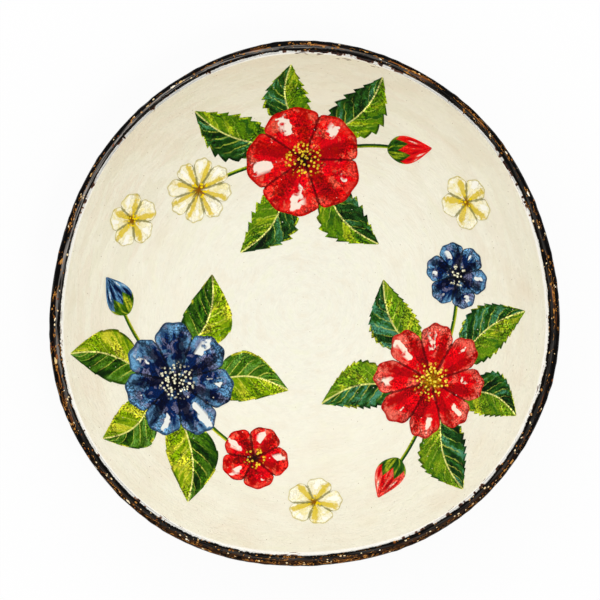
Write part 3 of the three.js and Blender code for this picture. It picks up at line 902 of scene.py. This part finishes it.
# Strip along x that bows sideways: a closed thin section carried along it, with a point at each end
def addStrip(node, material, start, end, bow, halfWidth, lay, spot, thickness, seed):
    face, back = cutOuts["stripFace"], cutOuts["stripBack"]
    share = np.linspace(0, 1, cutOuts["stripRows"])[:, None]
    across = np.concatenate([np.linspace(-1, 1, face), np.linspace(1, -1, back)])[None, :]
    lift = np.concatenate([np.full(face, thickness), np.full(back, -cutOuts["sunk"])])[None, :]
    lift[:, [0, face - 1]] -= cutOuts["stripEdge"]
    half = halfWidth(share)
    x = start + (end - start) * share + 0 * across
    y = bow * np.sin(np.pi * share) + across * half
    ones = np.ones_like(x)
    blade = np.stack([share * ones, across * ones, half * ones], -1)
    addPaper(node, material, x, y, lift, lay, spot, seed, {"blade": blade})


# How far up the wall a group of flat points sits, with a margin between its highest point and the cut edge
def reachOf(points, margin):
    x, y = np.concatenate(points, -1)
    return np.min(np.sqrt((wallWay[-1] - margin) ** 2 - x ** 2) - y)


# Flowers: petals, dip and paper. Leaves: teeth and their depth.
sprays = {
    "poppy": {
        "turn": 90, "blossom": (5, 0.2, redPetals), "companion": (8, 0.3, whitePetals), "budInk": redInk,
        "green": darkGreen, "teeth": (8, 0.2)},
    "anemone": {
        "turn": 210, "blossom": (7, 0.27, bluePetals), "companion": (5, 0.24, redPetals), "budInk": blueInk,
        "green": lightGreen, "teeth": (5, 0.05)},
    "cosmos": {
        "turn": 330, "blossom": (8, 0.3, rosePetals), "companion": (6, 0.26, bluePetals), "budInk": roseInk,
        "green": midGreen, "teeth": (12, 0.13)},
}


# Spray: a blossom with its companion, bud, stems and leaves. Its highest leaf sets how far up it sits.
def addSpray(name, spray, number):
    green = spray["green"]
    radius = cutOuts["blossomRadius"]
    tuck = cutOuts["leafTuck"]
    thick = cutOuts["thickness"]
    seeds = cutOuts["seeds"]
    outlines = []
    share = np.linspace(0, 1, cutOuts["outlineSteps"])
    for aim, length, width, bow in cutOuts["leaves"]:
        x = radius - tuck + (length + tuck) * share
        half = pointed(share, width, cutOuts["leafBelly"])
        for sign in (-1, 1):
            outlines.append(np.stack(placed(x, bow * np.sin(np.pi * share) + sign * half, aim, 0)))
    lay = partial(layOnWall, turn=spray["turn"], reach=reachOf(outlines, cutOuts["sprayMargin"]))
    leafMaterial = leafPaper(f"{name}_leaf_watercolour_on_paper", green)
    stemMaterial = stemPaper(f"{name}_stem_watercolour_on_paper", green)
    budMaterial = budPaper(f"{name}_bud_watercolour_on_paper", spray["budInk"], green)
    companionSpot = (cutOuts["companionAim"], radius + cutOuts["companionStem"] + cutOuts["companionRadius"])
    budSpot = (cutOuts["budAim"], radius + cutOuts["budStem"] + cutOuts["budLength"] / 2)
    for part, spot in (("blossom", (0, 0)), ("companion", companionSpot)):
        petals, dip, paper = spray[part]
        addFlower(f"{name}_{part}", paper, petals, dip, cutOuts[f"{part}Radius"], lay, spot, thick[part],
                  seeds[part] + number)
    budEnd = cutOuts["budLength"] / 2
    budHalf = partial(pointed, width=cutOuts["budWidth"], belly=cutOuts["budBelly"])
    addStrip(f"{name}_bud", budMaterial, -budEnd, budEnd, 0, budHalf, lay, budSpot, thick["bud"],
             seeds["bud"] + number)
    for part, (aim, way), side in (("companion", companionSpot, -1), ("bud", budSpot, 1)):
        addStrip(f"{name}_{part}_stem", stemMaterial, 0, way, side * cutOuts["stemBow"], stemHalf, lay,
                 (aim, 0), thick["stem"], seeds["stem"] + number)
    teeth, depth = spray["teeth"]
    firstSeed = seeds["leaf"] + number * len(cutOuts["leaves"])
    for i, (aim, length, width, bow) in enumerate(cutOuts["leaves"]):
        half = partial(leafHalf, width=width, teeth=teeth, depth=depth)
        addStrip(f"{name}_leaf_{i + 1}", leafMaterial, radius - tuck, radius + length, bow, half, lay,
                 (aim, 0), thick["leaf"], firstSeed + i)


for number, (name, spray) in enumerate(sprays.items()):
    addSpray(name, spray, number)
    print(name, "spray done")


# Lone florets between the sprays
def addFlorets():
    radius = cutOuts["floretRadius"]
    petals, dip = cutOuts["floretPetals"]
    ring = np.linspace(0, fullTurn, cutOuts["ringSteps"])
    edge = petalEdge(ring, radius, petals, dip, 0)
    reach = reachOf([np.stack([edge * np.cos(ring), edge * np.sin(ring)])], cutOuts["floretMargin"])
    for i, turn in enumerate(cutOuts["floretTurns"]):
        lay = partial(layOnWall, turn=turn, reach=reach)
        addFlower(f"floret_{i + 1}", whitePetals, petals, dip, radius, lay, (0, 0),
                  cutOuts["thickness"]["companion"], cutOuts["seeds"]["floret"] + i)


addFlorets()
print("florets done")


# 1 for what the camera sees straight, mirrored or through glass, and 0 for the rest of the light
def seenLight(add):
    path = add("LightPath").node.outputs
    seen = add("Math", [path["Is Camera Ray"], path["Is Glossy Ray"]], operation="MAXIMUM")
    return add("Math", [seen, path["Is Transmission Ray"]], operation="MAXIMUM")


# Floor: plain white to the camera, with the bowl's soft shadow, which the glow washes out towards the rim's
# radius
def addFloor():
    material, add, shader = newMaterial("white_studio_floor")
    setInputs(shader, {"Base Color": "#f4f4f4", "Roughness": 0.9})
    away = add("VectorMath", [add("TexCoord", out="Object")], "Value", operation="LENGTH")
    # painted light: the floor's glow share grows from the foot out to the rim's radius and hides the bowl's
    # shadow there
    white = add("MapRange", [away, studio["glowStart"] * metresPerMm, rimRadius * metresPerMm,
                             studio["footGlow"], studio["floorGlow"]])
    share = add("Math", [seenLight(add), white], operation="MULTIPLY")
    glow = add("Emission", {"Color": "#ffffff", "Strength": 1})
    both = add("MixShader", [share, shader.outputs[0], glow])
    setInputs(material.node_tree.nodes["Material Output"], {"Surface": both})
    half = studio["floorSize"] / 2
    low = -studio["floorDrop"]
    corners = np.array([(-half, -half, low), (half, -half, low), (half, half, low), (-half, half, low)])
    mesh = bpy.data.meshes.new("studioFloor")
    mesh.from_pydata((corners * metresPerMm).tolist(), [], [(0, 1, 2, 3)])
    mesh.materials.append(material)
    floor = bpy.data.objects.new("studioFloor", mesh)
    bpy.context.collection.objects.link(floor)


# World: even fill light, white to the camera and in reflections
def addWorld():
    world = bpy.data.worlds.new("studioWorld")
    world.use_nodes = True
    world.node_tree.nodes.clear()
    add = partial(addNode, world.node_tree)
    strength = add("MapRange", [seenLight(add), 0, 1, studio["worldLight"], 1])
    light = add("Background", {"Color": "#ffffff", "Strength": strength})
    add("OutputWorld", {"Surface": light})
    bpy.context.scene.world = world


# Area lamp, aimed at the bowl
def addLamp(name, shape, across, place, watts):
    lamp = bpy.data.lights.new(name, "AREA")
    lamp.shape = shape
    lamp.size = across * metresPerMm
    lamp.energy = watts
    stand = bpy.data.objects.new(name, lamp)
    stand.location = Vector(place) * metresPerMm
    stand.rotation_euler = (-stand.location).to_track_quat("-Z", "Y").to_euler()
    bpy.context.collection.objects.link(stand)


# Camera straight above, framed as the photograph is
def addCamera():
    lens = bpy.data.cameras.new("photoCamera")
    camera = bpy.data.objects.new("photoCamera", lens)
    centre = photoView["pixels"] / 2
    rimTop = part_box("rim_edging")[1].z / metresPerMm
    right = (centre - photoView["bowlCentre"][0]) * photoView["pixelSize"]
    up = (photoView["bowlCentre"][1] - centre) * photoView["pixelSize"]
    camera.location = np.array([right, up, rimTop + photoView["distance"]]) * metresPerMm
    lens.lens = lens.sensor_width * photoView["distance"] / (photoView["pixels"] * photoView["pixelSize"])
    bpy.context.collection.objects.link(camera)
    bpy.context.scene.camera = camera


addFloor()
addWorld()
for lamp in studio["lamps"]:
    addLamp(*lamp)
addCamera()
bpy.context.scene.view_settings.view_transform = "Standard"
print("studio done")
